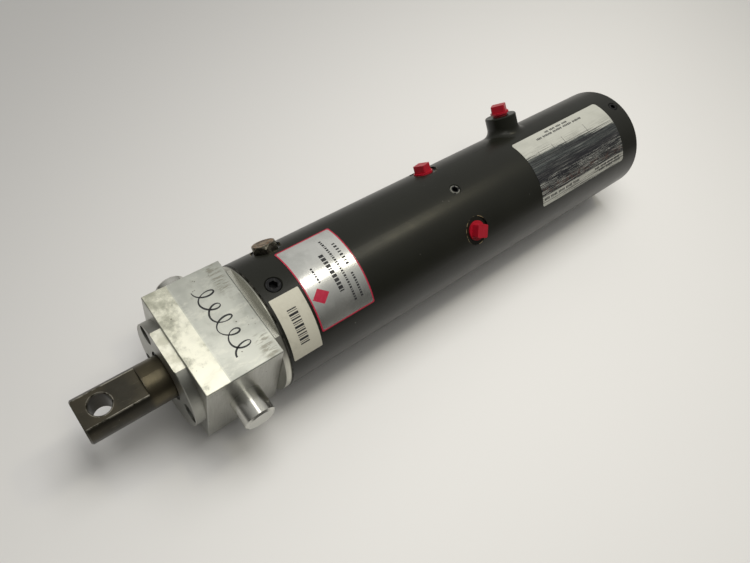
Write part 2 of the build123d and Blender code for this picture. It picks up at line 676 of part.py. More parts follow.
with BuildPart() as retract_piston:
    revolve(
        ring(RETRACT_REAR, RETRACT_FRONT, PUSH_SPIGOT_RADIUS + RUNNING_GAP, PISTON_RADIUS),
        axis=CYLINDER_AXIS,
    )
    retract_seal_rear_x, retract_wear_x, retract_seal_front_x = piston_grooves(RETRACT_REAR)
    for groove in (retract_seal_rear_x, retract_seal_front_x):
        revolve(
            ring(groove, groove + SEAL_WIDTH, SEAL_FLOOR, BORE_RADIUS),
            axis=CYLINDER_AXIS,
            mode=Mode.SUBTRACT,
        )
    revolve(
        ring(retract_wear_x, retract_wear_x + WEAR_WIDTH, WEAR_FLOOR, BORE_RADIUS),
        axis=CYLINDER_AXIS,
        mode=Mode.SUBTRACT,
    )
    revolve(
        ring(RETRACT_REAR, RETRACT_REAR + NUT_POCKET_DEPTH, 0, PUSH_NUT_POCKET),
        axis=CYLINDER_AXIS,
        mode=Mode.SUBTRACT,
    )
finish(retract_piston, "retract_piston")

with BuildPart() as push_rod:
    revolve(
        half_section(
            (RETRACT_REAR + 0.5, 0),
            (PUSH_ROD_FRONT, 0),
            (PUSH_ROD_FRONT, PUSH_ROD_RADIUS - 1),
            (PUSH_ROD_FRONT - 1, PUSH_ROD_RADIUS),
            (RETRACT_FRONT, PUSH_ROD_RADIUS),
            (RETRACT_FRONT, PUSH_SPIGOT_RADIUS),
            (RETRACT_REAR + 1.5, PUSH_SPIGOT_RADIUS),
            (RETRACT_REAR + 0.5, PUSH_SPIGOT_RADIUS - 1),
        ),
        axis=CYLINDER_AXIS,
    )
finish(push_rod, "push_rod")

with BuildPart() as push_rod_nut:
    with BuildSketch(across_plane(RETRACT_REAR + NUT_POCKET_DEPTH)):
        RegularPolygon(PUSH_NUT_RADIUS, 6)
        Circle(PUSH_SPIGOT_RADIUS + RUNNING_GAP, mode=Mode.SUBTRACT)
    extrude(amount=-PUSH_NUT_LENGTH)
finish(push_rod_nut, "push_rod_nut")

# ---------------------------------------------------------------- weld piston and the piston rod
ROD_SPIGOT_RADIUS = 12.7
ROD_NUT_POCKET = 22.6
ROD_NUT_RADIUS = 21.9
ROD_NUT_LENGTH = 12.5
ROD_NUT_POCKET_DEPTH = 14.5
TIP_CORNER = 2.5

with BuildPart() as weld_piston:
    revolve(
        ring(WELD_REAR, WELD_FRONT, ROD_SPIGOT_RADIUS + RUNNING_GAP, PISTON_RADIUS),
        axis=CYLINDER_AXIS,
    )
    weld_seal_rear_x, weld_wear_x, weld_seal_front_x = piston_grooves(WELD_REAR)
    for groove in (weld_seal_rear_x, weld_seal_front_x):
        revolve(
            ring(groove, groove + SEAL_WIDTH, SEAL_FLOOR, BORE_RADIUS),
            axis=CYLINDER_AXIS,
            mode=Mode.SUBTRACT,
        )
    revolve(
        ring(weld_wear_x, weld_wear_x + WEAR_WIDTH, WEAR_FLOOR, BORE_RADIUS),
        axis=CYLINDER_AXIS,
        mode=Mode.SUBTRACT,
    )
    revolve(
        ring(WELD_REAR, WELD_REAR + ROD_NUT_POCKET_DEPTH, 0, ROD_NUT_POCKET),
        axis=CYLINDER_AXIS,
        mode=Mode.SUBTRACT,
    )
finish(weld_piston, "weld_piston")

with BuildPart() as piston_rod:
    revolve(
        half_section(
            (ROD_REAR, 0),
            (ROD_TIP, 0),
            (ROD_TIP, ROD_RADIUS - TIP_CORNER / 2),
            (ROD_TIP - TIP_CORNER / 2, ROD_RADIUS),
            (WELD_FRONT, ROD_RADIUS),
            (WELD_FRONT, ROD_SPIGOT_RADIUS),
            (ROD_REAR + 1, ROD_SPIGOT_RADIUS),
            (ROD_REAR, ROD_SPIGOT_RADIUS - 1),
        ),
        axis=CYLINDER_AXIS,
    )
    with BuildSketch(across_plane(TANG_START)):
        for side in (-1, 1):
            with Locations((0, side * (TANG_THICKNESS / 2 + ROD_RADIUS / 2))):
                Rectangle(3 * ROD_RADIUS, ROD_RADIUS)
    extrude(amount=ROD_TIP - TANG_START, mode=Mode.SUBTRACT)
    with BuildSketch(radial_plane(EYE_X, 0, -TANG_THICKNESS / 2)):
        Circle(EYE_RADIUS)
    extrude(amount=TANG_THICKNESS, mode=Mode.SUBTRACT)
    for side in (-1, 1):
        with BuildSketch(radial_plane(EYE_X, 0, side * TANG_THICKNESS / 2)):
            Circle(EYE_RADIUS + EYE_CHAMFER)
        extrude(amount=-side * EYE_CHAMFER, taper=45, mode=Mode.SUBTRACT)
finish(piston_rod, "piston_rod")

with BuildPart() as rod_nut:
    with BuildSketch(across_plane(WELD_REAR + ROD_NUT_POCKET_DEPTH)):
        RegularPolygon(ROD_NUT_RADIUS, 6)
        Circle(ROD_SPIGOT_RADIUS + RUNNING_GAP, mode=Mode.SUBTRACT)
    extrude(amount=-ROD_NUT_LENGTH)
finish(rod_nut, "rod_nut")

# ---------------------------------------------------------------- seals and wear rings on both pistons
for seal_name, seal_x in (
    ("retract_seal_rear", retract_seal_rear_x),
    ("retract_seal_front", retract_seal_front_x),
    ("weld_seal_rear", weld_seal_rear_x),
    ("weld_seal_front", weld_seal_front_x),
):
    with BuildPart() as piston_seal:
        revolve(
            ring(
                seal_x + RUNNING_GAP,
                seal_x + SEAL_WIDTH - RUNNING_GAP,
                SEAL_FLOOR + RUNNING_GAP,
                BORE_RADIUS - FIT_GAP,
            ),
            axis=CYLINDER_AXIS,
        )
    finish(piston_seal, seal_name)

for wear_name, wear_x in (("retract_wear_ring", retract_wear_x), ("weld_wear_ring", weld_wear_x)):
    with BuildPart() as wear_ring:
        revolve(
            ring(
                wear_x + RUNNING_GAP,
                wear_x + WEAR_WIDTH - RUNNING_GAP,
                WEAR_FLOOR + RUNNING_GAP,
                BORE_RADIUS - RUNNING_GAP,
            ),
            axis=CYLINDER_AXIS,
        )
    finish(wear_ring, wear_name)
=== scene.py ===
"""Looks for the trunnion-mounted two-stroke hydraulic cylinder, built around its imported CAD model.

Units are metres in the row frame: +X along the cylinder towards the rod eye, +Y along the trunnion pins
towards the nameplate side, +Z up. Angles round the barrel run from the top line towards +Y.
"""

import json
from itertools import cycle
from math import atan2, cos, degrees, hypot, pi, radians, sin, tau

import bmesh
import bpy
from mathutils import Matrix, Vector


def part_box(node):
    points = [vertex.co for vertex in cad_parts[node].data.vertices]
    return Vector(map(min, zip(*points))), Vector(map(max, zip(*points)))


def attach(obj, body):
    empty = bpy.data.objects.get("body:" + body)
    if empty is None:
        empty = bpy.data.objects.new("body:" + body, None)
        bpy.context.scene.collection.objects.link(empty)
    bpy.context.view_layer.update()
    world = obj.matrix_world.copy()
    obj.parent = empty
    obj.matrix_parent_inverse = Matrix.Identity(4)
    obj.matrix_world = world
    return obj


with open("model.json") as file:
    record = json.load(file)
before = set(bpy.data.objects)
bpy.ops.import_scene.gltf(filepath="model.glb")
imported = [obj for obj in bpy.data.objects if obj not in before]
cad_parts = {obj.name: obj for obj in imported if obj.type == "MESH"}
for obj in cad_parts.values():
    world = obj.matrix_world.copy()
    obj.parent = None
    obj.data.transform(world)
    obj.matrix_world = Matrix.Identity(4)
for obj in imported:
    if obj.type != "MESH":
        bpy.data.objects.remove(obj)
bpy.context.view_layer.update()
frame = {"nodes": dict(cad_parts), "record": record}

NODES = frame["nodes"]
MM = 0.001


def middle_x(node):
    """Station half way along a node."""
    low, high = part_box(node)
    return (low.x + high.x) / 2


# Places that everything else is measured from
TUBE_LOW, TUBE_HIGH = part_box("cylinder_tube")
TUBE_RADIUS = (TUBE_HIGH.y - TUBE_LOW.y) / 2
AXIS_Z = (TUBE_HIGH.z + TUBE_LOW.z) / 2
TRUNNION_X = middle_x("trunnion_pin_near")
BLOCK_HALF_HEIGHT = 42 * MM
BLOCK_TOP = AXIS_Z + BLOCK_HALF_HEIGHT
BLOCK_REAR = TRUNNION_X - 30.75 * MM
PORT_ANGLES = {"front_port_plug": -45, "divider_port_plug_far": -45, "divider_port_plug_near": 45}
SPOT_FACE_RADIUS = 12.8 * MM

# Ink reaches this far into and out of the face that it lies on
INK_SINK = 0.02 * MM
INK_PROUD = 0.03 * MM
# Steps of curved pieces: degrees round the barrel, length along an outline, and steps to a round corner
ARC_STEP = 1.5
OUTLINE_STEP = 1.5 * MM
CORNER_STEPS = 6


# ---------------------------------------------------------------- camera
SENSOR_WIDTH = 36.0
FOCAL_LENGTH = 29.77
CAMERA_PLACE = (0.2919, 0.1819, 0.4982)
CAMERA_TURN = (32.02, -11.93, 141.62)


def make_camera():
    """A phone-like lens above the rod end, looking down along the barrel."""
    data = bpy.data.cameras.new("camera")
    data.sensor_width = SENSOR_WIDTH
    data.lens = FOCAL_LENGTH
    data.clip_start = 0.01
    camera = bpy.data.objects.new("camera", data)
    camera.location = CAMERA_PLACE
    camera.rotation_euler = [radians(turn) for turn in CAMERA_TURN]
    bpy.context.scene.collection.objects.link(camera)
    bpy.context.scene.camera = camera


# ---------------------------------------------------------------- material helper
class Finish:
    """One procedural material: a Principled shader and the nodes that feed it."""

    def __init__(self, name, **settings):
        self.material = bpy.data.materials.new(name)
        self.material.use_nodes = True
        self.tree = self.material.node_tree
        self.shader = self.tree.nodes["Principled BSDF"]
        for socket, value in settings.items():
            self.shader.inputs[socket.replace("_", " ")].default_value = value
        self.point = self.node("ShaderNodeTexCoord").outputs["Object"]
        axes = self.node("ShaderNodeSeparateXYZ", {0: self.point}).outputs
        self.x, self.y = axes[0], axes[1]
        self.z = self.math("SUBTRACT", axes[2], AXIS_Z)
        self.height = None

    def node(self, kind, links=None, **settings):
        """New node with its inputs set or linked by socket, and its own properties set by name."""
        made = self.tree.nodes.new(kind)
        for name, value in settings.items():
            setattr(made, name, value)
        for socket, value in (links or {}).items():
            self.feed(made.inputs[socket], value)
        return made

    def feed(self, socket, value):
        if isinstance(value, bpy.types.NodeSocket):
            self.tree.links.new(value, socket)
        elif isinstance(value, tuple) and len(value) == 3 and socket.type == "RGBA":
            socket.default_value = (*value, 1.0)
        else:
            socket.default_value = value

    def math(self, operation, first, second=0.0):
        return self.node("ShaderNodeMath", {0: first, 1: second}, operation=operation).outputs[0]

    def product(self, *values):
        result = values[0]
        for value in values[1:]:
            result = self.math("MULTIPLY", result, value)
        return result

    def stretched(self, sx, sy, sz):
        """Texture point with its own scale along each axis."""
        return self.node("ShaderNodeMapping", {"Vector": self.point, "Scale": (sx, sy, sz)}).outputs[0]

    def cylinder_point(self, along, around, outward=1.0):
        """Texture point unrolled from the barrel, with its own scale along, around and outwards."""
        angle = self.math("ARCTAN2", self.y, self.z)
        unrolled = self.node(
            "ShaderNodeCombineXYZ",
            {
                0: self.math("MULTIPLY", self.x, along),
                1: self.math("MULTIPLY", angle, around * TUBE_RADIUS),
                2: self.math("MULTIPLY", self.length(self.y, self.z), outward),
            },
        )
        return unrolled.outputs[0]

    def length(self, first, second):
        """Distance made up of two steps at a right angle."""
        squares = self.math("ADD", self.product(first, first), self.product(second, second))
        return self.math("SQRT", squares)

    def from_port(self, plug):
        """Distance from the axis of a port that points straight out of the barrel."""
        turn = radians(PORT_ANGLES[plug])
        along = self.math("SUBTRACT", self.x, middle_x(plug))
        across = self.math("SUBTRACT", self.product(self.y, cos(turn)), self.product(self.z, sin(turn)))
        return self.length(along, across)

    def angle(self):
        """Degrees from the top line towards +Y."""
        return self.math("MULTIPLY", self.math("ARCTAN2", self.y, self.z), 180 / pi)

    def noise(self, scale, detail=4.0, roughness=0.55, point=None):
        links = {
            "Vector": self.point if point is None else point,
            "Scale": scale,
            "Detail": detail,
            "Roughness": roughness,
        }
        return self.node("ShaderNodeTexNoise", links).outputs[0]

    def cells(self, scale):
        """Distance to the nearest of many scattered points."""
        links = {"Vector": self.point, "Scale": scale}
        return self.node("ShaderNodeTexVoronoi", links).outputs["Distance"]

    def rise(self, value, low, high):
        """0 below low, 1 above high, smooth between; falls instead when low is above high."""
        first, last, start, end = (low, high, 0.0, 1.0) if low < high else (high, low, 1.0, 0.0)
        links = {0: value, 1: first, 2: last, 3: start, 4: end}
        return self.node("ShaderNodeMapRange", links, interpolation_type="SMOOTHSTEP").outputs[0]

    def between(self, value, low, high, soft):
        """1 from low to high, falling to 0 over the soft distance on both sides of each end."""
        above_low = self.rise(value, low - soft, low + soft)
        below_high = self.rise(value, high + soft, high - soft)
        return self.product(above_low, below_high)

    def facing(self, x, y, z):
        """Cosine between the surface and a direction."""
        normal = self.node("ShaderNodeTexCoord").outputs["Normal"]
        links = {0: normal, 1: (x, y, z)}
        return self.node("ShaderNodeVectorMath", links, operation="DOT_PRODUCT").outputs["Value"]

    def blend(self, factor, first, second):
        """The first colour where the factor is 0, the second where it is 1."""
        made = self.node("ShaderNodeMix", data_type="RGBA")
        self.feed(made.inputs[0], factor)
        self.feed(made.inputs[6], first)
        self.feed(made.inputs[7], second)
        return made.outputs[2]

    def range(self, factor, low, high):
        """Low where the factor is 0, high where it is 1."""
        return self.node("ShaderNodeMapRange", {0: factor, 3: low, 4: high}).outputs[0]

    def relief(self, height, depth):
        """Adds a height, in metres at full value, to the surface relief."""
        grown = self.math("MULTIPLY", height, depth)
        self.height = grown if self.height is None else self.math("ADD", self.height, grown)

    def done(self, colour, roughness):
        self.feed(self.shader.inputs["Base Color"], colour)
        self.feed(self.shader.inputs["Roughness"], roughness)
        if self.height is not None:
            links = {"Height": self.height, "Distance": 1.0, "Strength": 1.0}
            bump = self.node("ShaderNodeBump", links)
            self.tree.links.new(bump.outputs[0], self.shader.inputs["Normal"])
        return self.material


# ---------------------------------------------------------------- materials
def barrel_paint():
    """Satin dark olive coating with faint rub marks, dust, and bare metal on the port and tube edges."""
    f = Finish("barrel_paint", IOR=1.5, Specular_IOR_Level=0.30)
    mottle = f.noise(22, 5)
    grain = f.noise(900, 2)
    rubs = f.rise(f.noise(1.0, 5, 0.7, f.cylinder_point(30, 420)), 0.60, 0.78)
    patches = f.rise(f.noise(14, 3), 0.45, 0.72)
    chips = f.rise(f.cells(150), 0.075, 0.035)
    chips = f.product(chips, f.rise(f.noise(40), 0.58, 0.66))
    front_rim = f.rise(f.x, TUBE_HIGH.x - 0.9 * MM, TUBE_HIGH.x - 0.2 * MM)
    rear_rim = f.rise(f.x, TUBE_LOW.x + 0.8 * MM, TUBE_LOW.x + 0.2 * MM)
    rims = f.product(f.math("ADD", front_rim, rear_rim), f.rise(f.noise(260, 3), 0.40, 0.62))
    colour = f.blend(mottle, (0.0070, 0.0072, 0.0048), (0.0120, 0.0122, 0.0086))
    colour = f.blend(f.product(rubs, patches, 0.30), colour, (0.040, 0.039, 0.031))
    colour = f.blend(chips, colour, (0.16, 0.155, 0.14))
    colour = f.blend(f.product(rims, 0.55), colour, (0.16, 0.15, 0.13))
    # the cutter that made each spot face left a thin bare edge, partly rubbed away
    for plug in PORT_ANGLES:
        distance = f.from_port(plug)
        edge = f.between(distance, SPOT_FACE_RADIUS - 0.3 * MM, SPOT_FACE_RADIUS + 0.3 * MM, 0.2 * MM)
        worn = f.product(edge, f.rise(f.noise(150, 4), 0.52, 0.62))
        colour = f.blend(f.product(worn, 0.9), colour, (0.30, 0.24, 0.13))
    roughness = f.math("ADD", f.range(f.noise(60, 4), 0.27, 0.38), f.product(rubs, 0.06))
    f.relief(grain, 0.010 * MM)
    f.relief(f.noise(160, 3), 0.020 * MM)
    return f.done(colour, roughness)


def block_metal():
    """Milled aluminium: bright front pass, greyer rear pass, partly painted reflection in their contrast,
    painted shade on the sides and towards the far side of the top, a painted highlight on the pass edge,
    chatter, pits, and a turned collar with painted reflection bands and painted shade against the tube.
    """
    f = Finish("block_metal", Metallic=1.0)
    up = f.rise(f.z, BLOCK_HALF_HEIGHT - 0.6 * MM, BLOCK_HALF_HEIGHT - 0.2 * MM)
    pass_edge = TRUNNION_X + 12.2 * MM
    front_pass = f.rise(f.x, pass_edge - 0.3 * MM, pass_edge + 0.3 * MM)
    seam = f.product(f.between(f.x, pass_edge - 1.0 * MM, pass_edge - 0.1 * MM, 0.3 * MM), up)
    smudge = f.noise(70, 6, 0.65)
    cloud = f.noise(24, 4)
    wipe = f.rise(f.noise(1.0, 5, 0.7, f.stretched(55, 120, 55)), 0.50, 0.66)
    mill = f.noise(1.0, 3, 0.6, f.stretched(2600, 90, 90))
    cross = f.noise(1.0, 3, 0.6, f.stretched(160, 1900, 160))
    drawn = f.noise(1.0, 4, 0.7, f.stretched(900, 900, 40))
    pits = f.product(f.rise(f.cells(210), 0.16, 0.08), f.rise(f.noise(75), 0.53, 0.60))
    rear_band = f.between(f.x, BLOCK_REAR + 3 * MM, BLOCK_REAR + 13 * MM, 2.5 * MM)
    far_corner = f.between(f.y, -44 * MM, -18 * MM, 3 * MM)
    near_corner = f.between(f.y, 23 * MM, 45 * MM, 3 * MM)
    ticks = f.rise(f.noise(1.0, 3, 0.6, f.stretched(120, 620, 120)), 0.47, 0.58)
    chatter = f.product(rear_band, f.math("ADD", far_corner, near_corner), ticks, up)
    # smudges, plus painted shade that darkens the top towards the far side (-Y)
    smudge_and_far_shade = f.math("SUBTRACT", smudge, f.product(f.y, 2.2))
    bright = f.blend(f.rise(smudge_and_far_shade, 0.44, 0.70), (0.92, 0.91, 0.79), (0.47, 0.47, 0.385))
    grey = f.blend(f.rise(cloud, 0.35, 0.65), (0.40, 0.41, 0.375), (0.60, 0.61, 0.56))
    bright = f.blend(f.product(wipe, 0.16), bright, (0.52, 0.52, 0.44))
    # milling passes with different tool marks; the contrast between the bright front pass and the grey rear
    # pass is partly painted reflection
    top = f.blend(front_pass, f.blend(f.product(wipe, 0.55), grey, (0.72, 0.72, 0.65)), bright)
    # the sides have drawn streaks and are painted darker than the top as painted shade
    side = f.blend(drawn, (0.30, 0.30, 0.275), (0.58, 0.58, 0.54))
    colour = f.blend(up, side, top)
    # the collar behind the block is turned; its rings carry painted reflection bands, and painted shade
    # darkens it in the gap against the tube
    collar = f.rise(f.x, BLOCK_REAR - 0.1 * MM, BLOCK_REAR - 0.4 * MM)
    grooves = f.noise(1.0, 4, 0.75, f.stretched(1500, 30, 30))
    turned = f.blend(grooves, (0.26, 0.26, 0.22), (0.78, 0.77, 0.69))
    painted_gap_shade = f.rise(f.x, TUBE_HIGH.x + 2.0 * MM, TUBE_HIGH.x + 0.6 * MM)
    turned = f.blend(f.product(painted_gap_shade, 0.9), turned, (0.050, 0.049, 0.038))
    colour = f.blend(collar, colour, turned)
    colour = f.blend(f.product(chatter, 0.60), colour, (0.22, 0.205, 0.16))
    colour = f.blend(f.product(f.rise(smudge, 0.56, 0.72), 0.45), colour, (0.34, 0.34, 0.30))
    # painted highlight: a light line along the milling step at the pass edge
    colour = f.blend(f.product(seam, 0.22), colour, (0.80, 0.80, 0.72))
    colour = f.blend(f.product(pits, 0.8), colour, (0.12, 0.115, 0.09))
    roughness = f.math("ADD", f.range(smudge, 0.24, 0.44), f.product(chatter, 0.12))
    roughness = f.math("ADD", roughness, f.product(f.math("SUBTRACT", front_pass, collar), up, 0.08))
    f.relief(mill, 0.006 * MM)
    f.relief(f.product(cross, up), 0.003 * MM)
    f.relief(chatter, -0.015 * MM)
    f.relief(pits, -0.05 * MM)
    f.relief(f.product(collar, grooves), 0.012 * MM)
    return f.done(colour, roughness)


def pin_metal():
    """Bright turned steel with fine rings round the pins and a duller faced end."""
    f = Finish("pin_metal", Metallic=1.0)
    rings = f.noise(1.0, 3, 0.6, f.stretched(60, 4200, 60))
    smudge = f.noise(110, 5, 0.6)
    end_face = f.rise(f.math("ABSOLUTE", f.facing(0, 1, 0)), 0.6, 0.9)
    nicks = f.product(f.rise(f.cells(240), 0.12, 0.06), f.rise(f.noise(90), 0.55, 0.62))
    colour = f.blend(smudge, (0.68, 0.675, 0.63), (0.50, 0.497, 0.46))
    colour = f.blend(f.product(end_face, 0.35), colour, (0.55, 0.555, 0.53))
    colour = f.blend(f.product(nicks, 0.6), colour, (0.20, 0.19, 0.17))
    roughness = f.math("ADD", f.range(smudge, 0.13, 0.26), f.product(end_face, 0.22))
    f.relief(rings, 0.0025 * MM)
    f.relief(nicks, -0.03 * MM)
    return f.done(colour, roughness)


def flange_metal():
    """Turned steel ring, grey with circular tool marks; its flat is ground bright."""
    f = Finish("flange_metal", Metallic=1.0)
    turned = f.noise(1.0, 3, 0.6, f.cylinder_point(400, 25, 5200))
    smudge = f.noise(90, 5, 0.6)
    flat = f.rise(f.facing(0, 0, 1), 0.97, 0.995)
    top_flat = f.product(flat, f.rise(f.z, 37 * MM, 38 * MM))
    ground = f.noise(1.0, 3, 0.6, f.stretched(900, 60, 60))
    colour = f.blend(smudge, (0.42, 0.42, 0.385), (0.27, 0.27, 0.245))
    bright = f.blend(f.rise(smudge, 0.40, 0.66), (0.88, 0.87, 0.76), (0.62, 0.61, 0.51))
    colour = f.blend(top_flat, colour, bright)
    roughness = f.blend(top_flat, f.range(smudge, 0.30, 0.46), f.range(ground, 0.30, 0.42))
    f.relief(turned, 0.006 * MM)
    f.relief(ground, 0.002 * MM)
    return f.done(colour, roughness)


def rod_metal():
    """Dark ground steel: rings round the round part, fine scratches and handling marks on the tang."""
    f = Finish("rod_metal", Metallic=0.9)
    smudge = f.noise(75, 6, 0.65)
    rings = f.noise(1.0, 3, 0.6, f.stretched(2400, 60, 60))
    scratches = f.rise(f.noise(1.0, 4, 0.7, f.stretched(90, 1100, 700)), 0.62, 0.73)
    specks = f.product(f.rise(f.cells(260), 0.14, 0.07), f.rise(f.noise(80), 0.52, 0.60))
    warm = f.rise(f.noise(30, 3), 0.40, 0.65)
    colour = f.blend(smudge, (0.052, 0.048, 0.038), (0.024, 0.022, 0.018))
    colour = f.blend(f.product(warm, 0.45), colour, (0.080, 0.068, 0.045))
    colour = f.blend(f.product(scratches, 0.30), colour, (0.20, 0.185, 0.15))
    colour = f.blend(f.product(specks, 0.6), colour, (0.24, 0.22, 0.18))
    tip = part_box("piston_rod")[1].x
    tang_start = tip - 46 * MM
    # painted highlight: a warm, lighter tint on the round part of the rod
    round_part = f.rise(f.x, tang_start + 2 * MM, tang_start - 3 * MM)
    painted_warm_highlight = f.blend(smudge, (0.20, 0.165, 0.095), (0.085, 0.075, 0.050))
    colour = f.blend(f.product(round_part, 0.45), colour, painted_warm_highlight)
    # bare metal on the chamfers of the eye and along the long edges of the flats
    half_thickness, half_width = 12.7 * MM, 12.0 * MM
    flat_height = f.math("ABSOLUTE", f.z)
    from_eye = f.length(f.math("SUBTRACT", f.x, tip - 16.05 * MM), f.y)
    near_flat = f.rise(flat_height, half_thickness - 1.1 * MM, half_thickness - 0.7 * MM)
    eye_rim = f.product(f.rise(from_eye, 9.3 * MM, 8.9 * MM), near_flat)
    outer = f.rise(f.math("ABSOLUTE", f.y), half_width - 0.7 * MM, half_width - 0.4 * MM)
    on_tang = f.rise(f.x, tang_start - 0.1 * MM, tang_start + 0.1 * MM)
    edge_height = f.rise(flat_height, half_thickness - 0.8 * MM, half_thickness - 0.5 * MM)
    long_edge = f.product(edge_height, outer, on_tang)
    rubbed = f.product(f.math("ADD", eye_rim, long_edge), f.rise(f.noise(190, 4), 0.36, 0.56))
    colour = f.blend(f.product(rubbed, 0.75), colour, (0.34, 0.32, 0.27))
    roughness = f.math("ADD", f.range(smudge, 0.26, 0.40), f.product(scratches, -0.05))
    f.relief(rings, 0.005 * MM)
    f.relief(scratches, -0.006 * MM)
    return f.done(colour, roughness)


def black_screw():
    """Black oxide with rubbed edges; the divider's lock screw has a painted highlight ring round its rim."""
    f = Finish("black_screw", Metallic=0.8)
    wear = f.rise(f.noise(420, 4), 0.52, 0.70)
    low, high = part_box("divider_lock_screw")
    radius = (high.x - low.x) / 2
    distance = f.length(f.math("SUBTRACT", f.x, middle_x("divider_lock_screw")), f.y)
    outside_socket = f.rise(distance, 0.66 * radius, 0.78 * radius)
    ring = f.product(outside_socket, f.rise(distance, 1.3 * radius, 1.2 * radius))
    # painted highlight: a lighter ring round the rim of the screw
    painted_rim_highlight = f.product(ring, f.rise(f.noise(380, 3), 0.40, 0.54))
    colour = f.blend(f.product(wear, 0.6), (0.018, 0.018, 0.019), (0.075, 0.073, 0.070))
    colour = f.blend(f.product(painted_rim_highlight, 0.75), colour, (0.36, 0.36, 0.32))
    f.relief(f.noise(1800, 2), 0.004 * MM)
    return f.done(colour, f.range(wear, 0.30, 0.46))


def plug_metal():
    """Aged brass hexagon plug: orange and brown worn top, dark tarnished flanks."""
    f = Finish("plug_metal", Metallic=1.0)
    turn = radians(PORT_ANGLES["front_port_plug"])
    top = f.rise(f.facing(0, sin(turn), cos(turn)), 0.85, 0.97)
    tarnish = f.rise(f.noise(230, 5, 0.65), 0.38, 0.62)
    rust = f.rise(f.noise(330, 4, 0.6), 0.50, 0.62)
    colour = f.blend(tarnish, (0.25, 0.235, 0.19), (0.065, 0.060, 0.048))
    worn = f.blend(tarnish, (0.24, 0.165, 0.080), (0.075, 0.055, 0.034))
    worn = f.blend(f.product(rust, 0.7), worn, (0.36, 0.17, 0.045))
    colour = f.blend(top, colour, worn)
    f.relief(f.noise(1200, 3), 0.006 * MM)
    return f.done(colour, f.range(tarnish, 0.26, 0.46))


def plug_red():
    """Moulded red plastic, slightly uneven, with scuffs."""
    f = Finish("plug_red", IOR=1.46, Subsurface_Weight=0.08, Subsurface_Scale=0.002)
    f.shader.inputs["Subsurface Radius"].default_value = (1.0, 0.2, 0.15)
    cloud = f.noise(170, 4)
    scuffs = f.rise(f.noise(1.0, 4, 0.7, f.stretched(300, 1300, 700)), 0.62, 0.74)
    colour = f.blend(cloud, (0.40, 0.007, 0.020), (0.27, 0.004, 0.014))
    colour = f.blend(f.product(scuffs, 0.20), colour, (0.56, 0.09, 0.10))
    f.relief(f.noise(420, 3), 0.03 * MM)
    f.relief(scuffs, -0.008 * MM)
    return f.done(colour, f.range(cloud, 0.34, 0.48))


def nameplate_metal():
    """Brushed foil plate with fine lines along the barrel and a few handling marks."""
    f = Finish("nameplate_metal", Metallic=1.0)
    brushed = f.noise(1.0, 4, 0.7, f.cylinder_point(70, 2600))
    cloud = f.noise(45, 4)
    crease = f.rise(f.noise(1.0, 3, 0.6, f.cylinder_point(260, 60)), 0.66, 0.76)
    colour = f.blend(f.rise(cloud, 0.35, 0.65), (0.93, 0.93, 0.89), (0.74, 0.745, 0.71))
    colour = f.blend(f.product(brushed, 0.30), colour, (0.42, 0.42, 0.40))
    colour = f.blend(f.product(crease, 0.25), colour, (0.40, 0.40, 0.39))
    f.relief(brushed, 0.004 * MM)
    f.relief(cloud, 0.06 * MM)
    return f.done(colour, f.range(brushed, 0.17, 0.30))


def label_paper():
    """Uncoated stock label, slightly yellowed, with scattered patches of soil."""
    f = Finish("label_paper")
    fibre = f.noise(1.0, 5, 0.7, f.cylinder_point(700, 420))
    soil = f.rise(f.noise(55, 5, 0.65), 0.48, 0.74)
    colour = f.blend(fibre, (0.56, 0.54, 0.45), (0.48, 0.46, 0.375))
    colour = f.blend(f.product(soil, 0.40), colour, (0.27, 0.25, 0.19))
    f.relief(fibre, 0.012 * MM)
    return f.done(colour, f.range(fibre, 0.50, 0.66))


